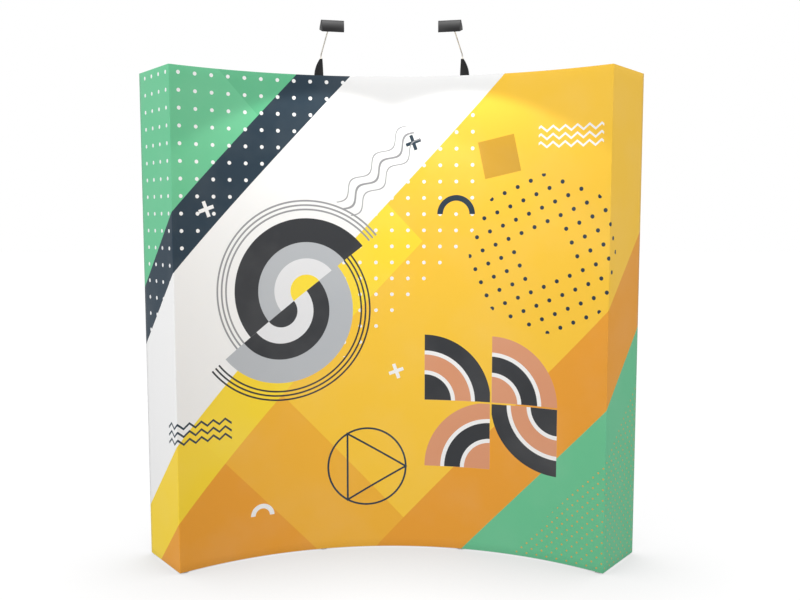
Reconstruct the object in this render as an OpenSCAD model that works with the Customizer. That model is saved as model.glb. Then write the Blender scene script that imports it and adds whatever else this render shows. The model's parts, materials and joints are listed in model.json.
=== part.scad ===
// Curved pop-up display wall: a folding lattice of scissor tubes between round hubs,
// a one-piece printed fabric skin that wraps round both ends, and two clip-on arm lamps.
// Row frame: +X across the wall, +Y to the back, +Z up. The wall is hollow towards -Y.

/* [Wall] */
// Height of the fabric's top edge above the floor
wall_h = 2230; // [1900:10:2400]
// Radius of the fabric's front face
wall_r = 1485; // [1350:5:1700]
// Angle from the middle of the wall to the end columns of hubs
end_angle = 38; // [34:0.5:42]
// Depth of the wall, from the fabric's front face to the rear edge of the end caps
wall_d = 321; // [280:1:360]
// Gap between the floor and the fabric's bottom edge
skin_lift = 6; // [4:1:12]
// Thickness of the fabric
skin_t = 1.2; // [0.8:0.1:1.6]
// Gap between the rims of the end hubs and the flat of their side pads
cap_gap = 0.8; // [0.3:0.1:4]

/* [Hem battens] */
// Thickness of the battens in the hems
batten_t = 1.5; // [1:0.1:2]
// Height of the battens in the hems
batten_h = 18; // [10:1:18]
// Distance from the fabric's edge to the batten
batten_edge = 2; // [1:0.5:3]

/* [Hubs] */
// Radius of a hub's disc
hub_r = 28; // [27:0.5:30]
// Thickness of a hub's disc
hub_t = 8; // [6:0.5:10]
// Height of the bottom hubs' centres above the floor
low_hub_z = 50; // [48:1:56]
// Distance from the top hubs' centres down from the fabric's top edge
top_hub_drop = 45; // [43:1:52]
// Distance from a hub's centre to its hinge pins
pin_reach = 28; // [26:0.5:30]
// Distance from a hub's outer face to its hinge pins
pin_depth = 20; // [19:0.5:24]
// Radius of the boss in the middle of a hub
boss_r = 11; // [9:0.5:12]
// Length of a hub from its outer face to the boss's end
boss_l = 16; // [14:0.5:17]
// Thickness of the cheeks that hold a hinge pin
cheek_t = 3; // [2:0.25:3.5]
// Radius of the hinge pins
pin_r = 2; // [1.5:0.1:2.5]

/* [Fastening pads] */
// Thickness of a hook pad, and of the loop pad that it holds
pad_t = 1.5; // [1:0.1:2]
// Radius of the round pads on the front hubs
pad_r = 21; // [16:0.5:22]
// Height of the square pads at the end caps
side_pad_h = 30; // [20:1:40]

/* [Tubes] */
// Outer radius of the aluminium tubes
tube_r = 6.5; // [5.5:0.1:7]
// Wall of the aluminium tubes
tube_wall = 1; // [0.8:0.1:1.5]
// Gap between two tubes where they cross
cross_gap = 3; // [2:0.5:4]
// Distance from a hinge pin to the tube's end
tip_l = 18; // [16:0.5:24]
// Length of a plastic tip inside its tube
spigot_l = 16; // [10:1:24]
// Thickness of a tip's eye
eye_t = 6; // [4:0.25:7]
// Radius of the rivets where the tubes cross
rivet_r = 2.5; // [1.5:0.1:3]

/* [Locking struts] */
// Radius of a strut's rod
strut_r = 4.5; // [3.5:0.1:5]
// Distance from a rear hub's outer face to a strut's pivot
strut_pivot = 26; // [25:0.5:30]
// Radius of a strut's magnet
magnet_r = 7; // [5.5:0.1:8]
// Thickness of a strut's magnet
magnet_t = 4; // [3:0.5:6]

/* [Feet] */
// Radius of a foot
foot_r = 15; // [12:0.5:18]
// Thickness of the rubber pad below a foot
foot_pad_t = 6; // [3:0.5:8]

/* [Lamps] */
// Height of a lamp bracket's top above the fabric's top edge
bracket_rise = 77; // [70:1:90]
// Width of a lamp bracket at its base
bracket_w = 40; // [36:0.5:46]
// Depth of a lamp bracket at its base
bracket_d = 24; // [20:0.5:26]
// Radius of a lamp's arm
arm_r = 3; // [2.5:0.1:3.4]
// Forward reach of a lamp's arm, from its swivel to the head's pivot
arm_reach = 250; // [200:5:320]
// Angle of the arm above level
arm_slope = 15; // [5:1:30]
// Radius of the arm's bend
arm_bend = 14; // [10:1:20]
// Width of a lamp's head
head_w = 108; // [80:1:140]
// Wall of a lamp's head
head_wall = 2.5; // [2:0.25:3]
// Distance that the head's middle stands inboard of its pivot
head_shift = 13; // [0:1:14]
// Distance that each end of the head flares out from front to back
head_flare = 8; // [2:0.5:9]

/* [Hidden] */
$fn = 48;

// Counts of the lattice
columns = 4;
rows = 4;
// Facets of the wall's long arcs
arc_fn = 720;
// Clearance of a part that turns or slides, and of a pin in its hole
run = 0.3;
pin_play = 0.1;
eye_play = 0.2;

// Colours
c_hub = [0.11, 0.11, 0.12];
c_tube = [0.78, 0.79, 0.80];
c_steel = [0.66, 0.67, 0.69];
c_rubber = [0.08, 0.08, 0.08];
c_hook = [0.16, 0.16, 0.17];
c_loop = [0.88, 0.88, 0.86];
c_skin = [0.98, 0.77, 0.20];
c_batten = [0.93, 0.93, 0.91];
c_lamp = [0.17, 0.17, 0.18];
c_arm = [0.80, 0.78, 0.74];
c_lens = [0.95, 0.95, 0.90];
c_board = [0.90, 0.92, 0.90];

// The lattice's angles, rows and radii
cap_offset = hub_r + cap_gap + 2 * pad_t + skin_t;
bay_angle = 2 * end_angle / (columns - 1);
pitch = (wall_h - low_hub_z - top_hub_drop) / (rows - 1);
front_face_r = wall_r + skin_t + 2 * pad_t;
cap_t = 1.5;
rear_face_r = wall_r + wall_d - 3 - cap_t;
front_pin_r = front_face_r + pin_depth;
rear_pin_r = rear_face_r - pin_depth;
tube_off = tube_r + cross_gap / 2;
eye_r = tip_l - 11;
function col_angle(i) = -end_angle + i * bay_angle;
function row_z(j) = low_hub_z + j * pitch;

// The origin stands under the middle of the wall's own box
cap_r = hub_r - 4;
front_y = wall_r * cos(end_angle + asin(cap_offset / wall_r)) - wall_r;
rear_y = (rear_face_r + cap_t) * cos(bay_angle / 2) + cap_r * sin(bay_angle / 2) - wall_r;
disc_rear_y = rear_face_r * cos(bay_angle / 2) + hub_r * sin(bay_angle / 2) - wall_r;
centre_y = -wall_r - (front_y + max(rear_y, disc_rear_y)) / 2;

// A column's own frame: X along the wall, Y straight back from the wall's centre
module on_angle(angle) {
    translate([0, centre_y, 0]) rotate([0, 0, -angle]) children();
}

// One hub of the front or the rear face, at its column and row
module at_hub(i, j, rear) {
    on_angle(col_angle(i)) translate([0, rear ? rear_face_r : front_face_r, row_z(j)])
        rotate([0, 0, rear ? 180 : 0]) children();
}

// ---- Hubs ----

// Has the hub a tube on side k? Sides are 0 right, 1 up, 2 left and 3 down, seen from its face
function right_free(i, rear) = rear ? i == 0 : i == columns - 1;
function left_free(i, rear) = rear ? i == columns - 1 : i == 0;
function has_tube(i, j, rear, k) =
    k == 0 ? !right_free(i, rear) :
    k == 1 ? j < rows - 1 :
    k == 2 ? !left_free(i, rear) : j > 0;
function has_strut(i, j) = i > 0 && i < columns - 1 && j > 0 && j < rows - 1;

cheek_w = 18;
cheek_far = eye_t / 2 + eye_play + cheek_t;

// Two cheeks round a tube's eye, pointing along +X from the hub
module tube_cheeks() {
    for (side = [-1, 1])
        translate([0, 0, tube_off + side * (cheek_far - cheek_t / 2) - cheek_t / 2]) {
            translate([pin_reach - cheek_w / 2, hub_t - 1, 0])
                cube([cheek_w, pin_depth - hub_t + 1, cheek_t]);
            translate([pin_reach, pin_depth, 0]) cylinder(r = cheek_w / 2, h = cheek_t);
        }
}

module tube_pin_hole() {
    translate([pin_reach, pin_depth, tube_off - cheek_far - 1])
        cylinder(r = pin_r + pin_play, h = 2 * cheek_far + 2);
}

strut_ear_t = 3;
strut_eye_t = 6;
strut_eye_r = 6;
ear_far = strut_eye_t / 2 + eye_play + strut_ear_t;

// Two ears that hold a locking strut, turned half way between the tubes
module strut_ears() {
    rotate([0, -45, 0]) difference() {
        for (side = [-1, 1])
            translate([side * (ear_far - strut_ear_t / 2) - strut_ear_t / 2, 0, 0]) {
                translate([0, hub_t - 1, -strut_eye_r])
                    cube([strut_ear_t, strut_pivot - hub_t + 1, 2 * strut_eye_r]);
                translate([0, strut_pivot, 0]) rotate([0, 90, 0])
                    cylinder(r = strut_eye_r, h = strut_ear_t);
            }
        translate([-ear_far - 1, strut_pivot, 0]) rotate([0, 90, 0])
            cylinder(r = pin_r + pin_play, h = 2 * ear_far + 2);
    }
}

side_tab_w = 18;
side_face = cap_offset - skin_t - 2 * pad_t;

// A flat tab that carries the end cap's pad, on the side X = side
module side_tab(side) {
    translate([side > 0 ? 0 : -side_face, 0, -side_pad_h / 2])
        cube([side_face, side_tab_w, side_pad_h]);
}

foot_lug_w = 18;
foot_y = foot_r + batten_t + run - 2 * pad_t;
foot_lug_top = 14;
foot_top = 30;
foot_pin_r = 4;
foot_pin_l = 9;

// The lug above a foot, on the hubs of the bottom row
module foot_lug() {
    difference() {
        translate([-foot_lug_w / 2, 0, -foot_top]) cube([foot_lug_w, 2 * foot_y, foot_top - foot_lug_top]);
        translate([0, foot_y, -foot_top - 1])
            cylinder(r = foot_pin_r + pin_play, h = foot_pin_l + 1 + run);
    }
}

module hub(i, j, rear) {
    difference() {
        union() {
            rotate([-90, 0, 0]) cylinder(r = hub_r, h = hub_t);
            rotate([-90, 0, 0]) cylinder(r = boss_r, h = rear && has_strut(i, j) ? hub_t + 4 : boss_l);
            for (k = [0:3]) if (has_tube(i, j, rear, k)) rotate([0, -90 * k, 0]) tube_cheeks();
            if (rear && i == 0) side_tab(1);
            if (rear && i == columns - 1) side_tab(-1);
        }
        for (k = [0:3]) if (has_tube(i, j, rear, k)) rotate([0, -90 * k, 0]) tube_pin_hole();
    }
    if (j == 0) foot_lug();
    if (rear && has_strut(i, j)) strut_ears();
}

module hub_column(i, rear) {
    color(c_hub) for (j = [0:rows - 1]) at_hub(i, j, rear) hub(i, j, rear);
}

// The hinge pins of every hub, each with a head at both ends
module hub_pins() {
    head = 1.2;
    color(c_steel) for (rear = [false, true], i = [0:columns - 1], j = [0:rows - 1], k = [0:3])
        if (has_tube(i, j, rear, k)) at_hub(i, j, rear) rotate([0, -90 * k, 0])
            translate([pin_reach, pin_depth, tube_off - cheek_far]) {
                cylinder(r = pin_r, h = 2 * cheek_far);
                for (z = [-head, 2 * cheek_far]) translate([0, 0, z]) cylinder(r = pin_r + 1.5, h = head);
            }
}

module rear_hub_caps() {
    color(c_rubber) for (i = [0:columns - 1], j = [0:rows - 1]) at_hub(i, j, true)
        translate([0, -cap_t, 0]) rotate([-90, 0, 0]) cylinder(r = cap_r, h = cap_t);
}

// ---- Fastening pads ----

// A round pad in front of every front hub, its back at depth back from the hub's face
module front_pads(back) {
    for (i = [0:columns - 1], j = [0:rows - 1]) at_hub(i, j, false)
        translate([0, -back, 0]) rotate([-90, 0, 0]) cylinder(r = pad_r, h = pad_t);
}

// A square pad outside every rear hub of the end columns, beyond its tab by gap
module side_pads(gap) {
    for (end = [-1, 1], j = [0:rows - 1]) on_angle(end * end_angle)
        translate([end * (side_face + gap + pad_t / 2) - pad_t / 2,
                   rear_face_r - side_tab_w, row_z(j) - side_pad_h / 2])
            cube([pad_t, side_tab_w, side_pad_h]);
}

module hook_pads() {
    color(c_hook) { front_pads(pad_t); side_pads(0); }
}

module loop_pads() {
    color(c_loop) { front_pads(2 * pad_t); side_pads(pad_t); }
}

// ---- Tubes ----

// Both tubes of a scissor lie in the XY plane of their bay, one tube_off above it and one
// below. A bay is [x of the front pin, y of the front pin, x of the rear pin, y of the rear pin].
cross_bay = [
    -front_pin_r * sin(bay_angle / 2) + pin_reach * cos(bay_angle / 2),
    front_pin_r * cos(bay_angle / 2) + pin_reach * sin(bay_angle / 2),
    rear_pin_r * sin(bay_angle / 2) - pin_reach * cos(bay_angle / 2),
    rear_pin_r * cos(bay_angle / 2) + pin_reach * sin(bay_angle / 2),
];
upright_bay = [pin_reach - pitch / 2, front_pin_r, pitch / 2 - pin_reach, rear_pin_r];
function bay_length(b) = norm([b[2] - b[0], b[3] - b[1]]);
function bay_turn(b) = atan2(b[3] - b[1], b[2] - b[0]);
function bay_cross(b) = -b[0] / (b[2] - b[0]);

// Puts children, made along +X from the front pin, on both tubes of a bay
module on_both_tubes(b) {
    for (half = [0, 180]) rotate([0, half, 0])
        translate([b[0], b[1], tube_off]) rotate([0, 0, bay_turn(b)]) children();
}

module tube(b) {
    long = bay_length(b);
    difference() {
        translate([tip_l, 0, 0]) rotate([0, 90, 0]) cylinder(r = tube_r, h = long - 2 * tip_l);
        translate([tip_l - 1, 0, 0]) rotate([0, 90, 0])
            cylinder(r = tube_r - tube_wall, h = long - 2 * tip_l + 2);
        translate([long * bay_cross(b), 0, -tube_r - 1])
            cylinder(r = rivet_r + pin_play, h = 2 * tube_r + 2);
    }
}

// A plastic tip: an eye round the hinge pin, a neck, a collar and a spigot in the tube
module tip() {
    collar = 4;
    difference() {
        union() {
            translate([0, 0, -eye_t / 2]) cylinder(r = eye_r, h = eye_t);
            translate([0, -eye_r + 1.5, -eye_t / 2]) cube([tip_l - collar + 1, 2 * eye_r - 3, eye_t]);
            translate([tip_l - collar, 0, 0]) rotate([0, 90, 0]) cylinder(r = tube_r, h = collar);
            translate([tip_l - 1, 0, 0]) rotate([0, 90, 0])
                cylinder(r = tube_r - tube_wall - pin_play, h = spigot_l + 1);
        }
        translate([0, 0, -eye_t]) cylinder(r = pin_r + pin_play, h = 2 * eye_t);
    }
}

module both_tips(b) {
    tip();
    translate([bay_length(b), 0, 0]) rotate([0, 0, 180]) tip();
}

// A rivet through both tubes, with a spacer between them and a head at each end
module rivet() {
    head = 1.5;
    reach = tube_off + tube_r + 0.5;
    translate([0, 0, -reach]) cylinder(r = rivet_r, h = 2 * reach);
    for (z = [-reach - head, reach]) translate([0, 0, z]) cylinder(r = rivet_r + 2, h = head);
    translate([0, 0, -cross_gap / 2 + 0.1]) cylinder(r = rivet_r + 2, h = cross_gap - 0.2);
}

module in_cross_bays(j) {
    for (i = [0:columns - 2]) on_angle(col_angle(i) + bay_angle / 2)
        translate([0, 0, row_z(j)]) children();
}

module in_upright_bays(i) {
    for (j = [0:rows - 2]) on_angle(col_angle(i))
        translate([0, 0, row_z(j) + pitch / 2]) rotate([0, -90, 0]) children();
}

module cross_tubes(j) {
    color(c_tube) in_cross_bays(j) on_both_tubes(cross_bay) tube(cross_bay);
}

module upright_tubes(i) {
    color(c_tube) in_upright_bays(i) on_both_tubes(upright_bay) tube(upright_bay);
}

module cross_tube_tips() {
    color(c_hub) for (j = [0:rows - 1]) in_cross_bays(j)
        on_both_tubes(cross_bay) both_tips(cross_bay);
}

module upright_tube_tips() {
    color(c_hub) for (i = [0:columns - 1]) in_upright_bays(i)
        on_both_tubes(upright_bay) both_tips(upright_bay);
}

function cross_point_y(b) = b[1] + bay_cross(b) * (b[3] - b[1]);

module scissor_rivets() {
    color(c_steel) {
        for (j = [0:rows - 1]) in_cross_bays(j) translate([0, cross_point_y(cross_bay), 0]) rivet();
        for (i = [0:columns - 1]) in_upright_bays(i)
            translate([0, cross_point_y(upright_bay), 0]) rivet();
    }
}

// ---- Locking struts ----

plate_t = 1;
strut_l = rear_face_r - strut_pivot - (front_face_r + boss_l + plate_t + run);

// A strut's own frame: its pivot at the origin and its rod along -Y
module at_strut(n) {
    i = 1 + (n - 1) % 2;
    j = 1 + floor((n - 1) / 2);
    on_angle(col_angle(i)) translate([0, rear_face_r - strut_pivot, row_z(j)])
        rotate([0, 45, 0]) children();
}

module lock_strut(n) {
    color(c_tube) at_strut(n) difference() {
        union() {
            translate([-strut_eye_t / 2, 0, 0]) rotate([0, 90, 0])
                cylinder(r = strut_eye_r, h = strut_eye_t);
            translate([-strut_eye_t / 2, -strut_eye_r - 6, -strut_eye_r])
                cube([strut_eye_t, strut_eye_r + 6, 2 * strut_eye_r]);
            translate([0, -strut_eye_r - 5, 0]) rotate([90, 0, 0])
                cylinder(r = strut_r, h = strut_l - magnet_t - strut_eye_r - 5);
        }
        translate([-strut_eye_t, 0, 0]) rotate([0, 90, 0])
            cylinder(r = pin_r + pin_play, h = 2 * strut_eye_t);
    }
}

module strut_magnet(n) {
    color(c_steel) at_strut(n) translate([0, -strut_l + magnet_t, 0]) rotate([90, 0, 0])
        cylinder(r = magnet_r, h = magnet_t);
}

module strut_pivot_pins() {
    color(c_steel) for (n = [1:4]) at_strut(n) translate([-ear_far - 1, 0, 0]) rotate([0, 90, 0])
        cylinder(r = pin_r, h = 2 * ear_far + 2);
}

module strike_plates() {
    color(c_steel) for (i = [0:columns - 1], j = [0:rows - 1])
        if (has_strut(i, j)) at_hub(i, j, false)
            translate([0, boss_l, 0]) rotate([-90, 0, 0]) cylinder(r = magnet_r + 1, h = plate_t);
}

// ---- Feet ----

module feet() {
    color(c_hub) for (rear = [false, true], i = [0:columns - 1]) at_hub(i, 0, rear)
        translate([0, foot_y, -low_hub_z + foot_pad_t]) {
            cylinder(r = foot_r, h = low_hub_z - foot_top - foot_pad_t);
            cylinder(r = foot_pin_r, h = low_hub_z - foot_top - foot_pad_t + foot_pin_l);
        }
}

module foot_pads() {
    color(c_rubber) for (rear = [false, true], i = [0:columns - 1]) at_hub(i, 0, rear)
        translate([0, foot_y, -low_hub_z]) cylinder(r = foot_r, h = foot_pad_t);
}

// ---- Fabric skin ----

// The plan between the two end planes, each offset from its end column's line
module between_ends(offset_out) {
    big = 2 * (wall_r + wall_d);
    intersection() {
        children();
        rotate(-end_angle) translate([offset_out - big, -big]) square([big, 2 * big]);
        rotate(end_angle) translate([-offset_out, -big]) square([big, 2 * big]);
    }
}

module arc_ring(inner, outer) {
    difference() {
        circle(r = outer, $fn = arc_fn);
        circle(r = inner, $fn = arc_fn);
    }
}

module graphic_skin() {
    color(c_skin) translate([0, centre_y, skin_lift]) linear_extrude(wall_h - skin_lift) {
        between_ends(cap_offset) arc_ring(wall_r, wall_r + skin_t);
        for (end = [-1, 1]) rotate(-end * end_angle)
            translate([end * (cap_offset - skin_t / 2) - skin_t / 2, wall_r + skin_t / 4])
                square([skin_t, wall_d - skin_t / 4]);
    }
}

module hem_batten(bottom) {
    color(c_batten) translate([0, centre_y, bottom]) linear_extrude(batten_h)
        between_ends(cap_offset - skin_t - run) arc_ring(wall_r + skin_t, wall_r + skin_t + batten_t);
}

module top_hem_batten() { hem_batten(wall_h - batten_edge - batten_h); }

module bottom_hem_batten() { hem_batten(skin_lift + batten_edge); }

// ---- Lamps ----

// The left lamp stands on the second column; the right one is its mirror image.
// In a lamp's frame X points inboard, Y back and Z up, from the wall's centre line.
module on_lamp(side) {
    mirror([side > 0 ? 1 : 0, 0, 0]) on_angle(-bay_angle / 2) children();
}

socket_w = 24;
socket_d = 20;
socket_wall = 5;
socket_top = wall_h - 3;
socket_h = socket_top - (wall_h - top_hub_drop + boss_r + run);
socket_y = front_face_r + hub_t + socket_d / 2;
tongue_l = socket_h - 5;
tongue_w = socket_w - 2 * socket_wall;
tongue_d = socket_d - 2 * socket_wall;

module lamp_sockets() {
    color(c_hub) for (side = [-1, 1]) on_lamp(side) difference() {
        translate([-socket_w / 2, socket_y - socket_d / 2, socket_top - socket_h])
            cube([socket_w, socket_d, socket_h]);
        translate([-tongue_w / 2 - eye_play, socket_y - tongue_d / 2 - eye_play, socket_top - tongue_l - 1])
            cube([tongue_w + 2 * eye_play, tongue_d + 2 * eye_play, tongue_l + 2]);
    }
}

bracket_z = socket_top + run;
bracket_h = wall_h + bracket_rise - bracket_z;
bracket_in = 16;
bracket_lean = 3;
bracket_bow = 140;
bracket_top_d = 13;
bracket_step = 0.4 * bracket_h;
swivel_x = 6.6;
bush_r = 4.2;
bush_l = 44;

// The bracket's outline from the front: upright inboard, bowed outboard
module bracket_front() {
    intersection() {
        polygon([[bracket_in - bracket_w, 0], [bracket_in, 0],
                 [bracket_in - bracket_lean, bracket_h], [bracket_in - bracket_w, bracket_h]]);
        translate([bracket_in - bracket_w + bracket_bow, 0]) circle(r = bracket_bow, $fn = 120);
    }
}

module lamp_bracket(side) {
    color(c_rubber) on_lamp(side) translate([0, socket_y, bracket_z]) difference() {
        union() {
            intersection() {
                translate([0, bracket_d / 2, 0]) rotate([90, 0, 0])
                    linear_extrude(bracket_d) bracket_front();
                translate([bracket_in - bracket_w - 1, 0, 0]) rotate([90, 0, 90])
                    linear_extrude(bracket_w + 2)
                        polygon([[-bracket_d / 2, 0], [bracket_d / 2, 0],
                                 [bracket_d / 2, bracket_step], [bracket_top_d / 2, bracket_h],
                                 [-bracket_top_d / 2, bracket_h], [-bracket_d / 2, bracket_step]]);
            }
            translate([-tongue_w / 2, -tongue_d / 2, -tongue_l])
                cube([tongue_w, tongue_d, tongue_l + 1]);
        }
        translate([swivel_x, 0, bracket_h - bush_l]) cylinder(r = bush_r, h = bush_l + 1);
    }
}

module arm_bush(side) {
    color(c_loop) on_lamp(side) translate([swivel_x, socket_y, bracket_z + bracket_h - bush_l])
        difference() {
            cylinder(r = bush_r, h = bush_l);
            translate([0, 0, 3]) cylinder(r = arm_r + pin_play, h = bush_l);
        }
}

gland_r = 5;
gland_l = 9;

// The gland where the lamp's lead leaves the back of the bracket
module cord_gland(side) {
    color(c_rubber) on_lamp(side)
        translate([-2, socket_y + bracket_d / 2, bracket_z + gland_r + 3])
            rotate([-90, 0, 0]) difference() {
                translate([0, 0, -2]) union() {
                    cylinder(r = gland_r, h = 4.5);
                    cylinder(r = gland_r - 1.2, h = gland_l + 2);
                }
                translate([0, 0, 0.5]) cylinder(r = 2, h = gland_l + 4);
                translate([-gland_r - 1, -gland_r - 1, -3]) cube([2 * gland_r + 2, 2 * gland_r + 2, 3]);
            }
}

arm_foot = 3.3;
arm_stub = bush_l - arm_foot;
collar_t = 3;
bend_z = collar_t + run + 3;
slope_turn = 90 - arm_slope;
slope_l = (arm_reach - arm_bend * (1 - cos(slope_turn))) / sin(slope_turn);
knuckle_r = 7;
knuckle_w = 8;
pivot_y = -arm_reach;
pivot_z = bend_z + arm_bend * sin(slope_turn) + slope_l * cos(slope_turn);

// An arm's own frame stands on the bracket's top, on the swivel's line
module on_arm(side) {
    on_lamp(side) translate([swivel_x, socket_y, bracket_z + bracket_h]) children();
}

// The rod swells a little where it is bent
bend_swell = 0.1;

module lamp_arm(side) {
    color(c_arm) on_arm(side) {
        translate([0, 0, -arm_stub]) cylinder(r = arm_r, h = arm_stub + bend_z + 1);
        translate([0, 0, run]) cylinder(r = arm_r + 3, h = collar_t);
        translate([0, -arm_bend, bend_z]) rotate([0, 90, 0]) rotate([0, 0, 90])
            rotate_extrude(angle = slope_turn) translate([arm_bend, 0]) circle(r = arm_r + bend_swell);
        translate([0, -arm_bend * (1 - cos(slope_turn)), bend_z + arm_bend * sin(slope_turn)])
            rotate([slope_turn, 0, 0]) translate([0, 0, -1])
                cylinder(r = arm_r, h = slope_l - knuckle_r + 2);
    }
}

module arm_knuckle(side) {
    color(c_lamp) on_arm(side) translate([0, pivot_y, pivot_z]) difference() {
        union() {
            rotate([0, 90, 0]) cylinder(r = knuckle_r, h = knuckle_w, center = true);
            rotate([slope_turn - 180, 0, 0]) translate([0, 0, knuckle_r - 0.7])
                cylinder(r = arm_r + 1.8, h = 16);
        }
        rotate([0, 90, 0]) cylinder(r = pin_r + pin_play, h = 2 * knuckle_w, center = true);
        rotate([slope_turn - 180, 0, 0]) translate([0, 0, knuckle_r - 1])
            cylinder(r = arm_r + pin_play, h = 30);
    }
}

// A head's own frame has its tilt pivot at the origin. The outline is [y, z], from the
// front's lower edge round the front, the top and the back to the rear edge of the lens.
module on_head(side) {
    on_arm(side) translate([0, pivot_y, pivot_z]) children();
}

head_outline = [
    [-50, -24], [-52, -12], [-52, 0], [-50, 11], [-46, 20], [-40, 26], [-34, 28], [-12, -3], [-11, -9]
];
head_front = head_outline[0];
head_rear = head_outline[len(head_outline) - 1];
bezel_t = 4;
lens_t = 2;
lens_turn = atan2(head_rear[1] - head_front[1], head_rear[0] - head_front[0]);
lens_l = norm(head_rear - head_front);
head_taper = 2;
opening_w = head_w - 2 * (head_flare + head_wall + 1);
ear_t = 3;
ear_r = 5;
ear_in = knuckle_w / 2 + eye_play;

// An outline's edges moved in by d, with the corners where the moved edges meet
function edge_in(p, q, d) =
    let (v = (q - p) / norm(q - p)) [p + d * [v[1], -v[0]], v];
function meet(a, b) =
    let (w = b[0] - a[0], s = (w[0] * b[1][1] - w[1] * b[1][0]) / (a[1][0] * b[1][1] - a[1][1] * b[1][0]))
    a[0] + s * a[1];
function inset(points, d) =
    let (n = len(points), e = [for (k = [0:n - 1]) edge_in(points[k], points[(k + 1) % n], d)])
    [for (k = [0:n - 1]) meet(e[(k + n - 1) % n], e[k])];

// An outline in [y, z] drawn out along X, centred on the head's middle
module across_head(points, w) {
    translate([head_shift - w / 2, 0, 0]) rotate([90, 0, 90]) linear_extrude(w) polygon(points);
}

// The lens's own frame: X along the head, Y from the front edge back, Z into the head
module on_lens() {
    translate([head_shift, head_front[0], head_front[1]]) rotate([lens_turn, 0, 0]) children();
}

// The space between the head's flared ends, d inside them
module head_plan(d) {
    translate([head_shift, 0, -60]) linear_extrude(120)
        polygon([[d - head_w / 2, head_rear[0] + 1], [head_w / 2 - d, head_rear[0] + 1],
                 [head_w / 2 - head_flare - d, head_front[0] - 3],
                 [head_flare + d - head_w / 2, head_front[0] - 3]]);
}

module head_shell(side) {
    color(c_lamp) on_head(side) {
        difference() {
            intersection() {
                across_head(head_outline, head_w);
                head_plan(0);
                translate([head_shift, 0, 0]) rotate([90, 0, 0]) linear_extrude(100)
                    polygon([[-head_w / 2, -30], [head_w / 2, -30],
                             [head_w / 2 - head_taper, 30], [head_taper - head_w / 2, 30]]);
            }
            intersection() {
                across_head(inset(head_outline, head_wall), head_w);
                head_plan(head_wall + head_taper);
            }
            on_lens() translate([-opening_w / 2, head_wall, -1])
                cube([opening_w, lens_l - 2 * head_wall, bezel_t + 1]);
        }
        difference() {
            for (s = [-1, 1]) translate([s * (ear_in + ear_t / 2) - ear_t / 2, 0, 0]) {
                rotate([0, 90, 0]) cylinder(r = ear_r, h = ear_t);
                rotate([90, 0, 90]) linear_extrude(ear_t)
                    polygon([[1.5, 3.5], [-2.5, 4], [-27.2, 16], [-13.5, -2.6], [-12.9, -6], [-1, -4.7]]);
            }
            translate([-20, 0, 0]) rotate([0, 90, 0]) cylinder(r = pin_r + pin_play, h = 40);
        }
    }
}

module tilt_screw(side) {
    long = 2 * (ear_in + ear_t);
    color(c_steel) on_head(side) rotate([0, 90, 0]) {
        translate([0, 0, -long / 2]) cylinder(r = pin_r, h = long);
        for (z = [-long / 2 - 2, long / 2]) translate([0, 0, z]) cylinder(r = 4, h = 2);
    }
}

bezel_lip = 3;
bezel_w = opening_w - 2 * eye_play;
bezel_d = lens_l - 2 * head_wall - 2 * eye_play;
board_lift = 5;
post_d = 10;

// The frame round the lens, with a post at each end that carries the board
module head_bezel(side) {
    color(c_rubber) on_head(side) on_lens()
        translate([-bezel_w / 2, head_wall + eye_play, 0]) {
            difference() {
                cube([bezel_w, bezel_d, bezel_t]);
                translate([bezel_lip, bezel_lip, -1])
                    cube([bezel_w - 2 * bezel_lip, bezel_d - 2 * bezel_lip, bezel_t + 2]);
            }
            for (x = [0, bezel_w - bezel_lip]) translate([x, (bezel_d - post_d) / 2, bezel_t - 1])
                cube([bezel_lip, post_d, board_lift + 1 - run]);
        }
}

module head_lens(side) {
    w = bezel_w - 2 * bezel_lip - 2 * eye_play;
    d = bezel_d - 2 * bezel_lip - 2 * eye_play;
    color(c_lens) on_head(side) on_lens()
        translate([-w / 2, head_wall + bezel_lip + 2 * eye_play, 0.5]) cube([w, d, lens_t]);
}

module led_board(side) {
    w = bezel_w - 2;
    d = 20;
    board_t = 1.6;
    color(c_board) on_head(side) on_lens() translate([0, lens_l / 2, bezel_t + board_lift]) {
        translate([-w / 2, -d / 2, 0]) cube([w, d, board_t]);
        for (x = [-2:2]) translate([x * 13 - 2.5, -2.5, -1]) cube([5, 5, 1.2]);
    }
}

// ---- The assembly ----

hub_column(0, false);  // front_hubs_column_1
hub_column(1, false);  // front_hubs_column_2
hub_column(2, false);  // front_hubs_column_3
hub_column(3, false);  // front_hubs_column_4
hub_column(0, true);  // rear_hubs_column_1
hub_column(1, true);  // rear_hubs_column_2
hub_column(2, true);  // rear_hubs_column_3
hub_column(3, true);  // rear_hubs_column_4
cross_tubes(0);  // cross_tubes_row_1
cross_tubes(1);  // cross_tubes_row_2
cross_tubes(2);  // cross_tubes_row_3
cross_tubes(3);  // cross_tubes_row_4
upright_tubes(0);  // upright_tubes_column_1
upright_tubes(1);  // upright_tubes_column_2
upright_tubes(2);  // upright_tubes_column_3
upright_tubes(3);  // upright_tubes_column_4
cross_tube_tips();
upright_tube_tips();
scissor_rivets();
hub_pins();
hook_pads();
rear_hub_caps();
feet();
foot_pads();
lamp_sockets();
strike_plates();
strut_pivot_pins();
lock_strut(1);  // lock_strut_1
lock_strut(2);  // lock_strut_2
lock_strut(3);  // lock_strut_3
lock_strut(4);  // lock_strut_4
strut_magnet(1);  // strut_magnet_1
strut_magnet(2);  // strut_magnet_2
strut_magnet(3);  // strut_magnet_3
strut_magnet(4);  // strut_magnet_4
graphic_skin();
top_hem_batten();
bottom_hem_batten();
loop_pads();
lamp_bracket(-1);  // left_lamp_bracket
cord_gland(-1);  // left_cord_gland
arm_bush(-1);  // left_arm_bush
lamp_arm(-1);  // left_lamp_arm
arm_knuckle(-1);  // left_arm_knuckle
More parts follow.
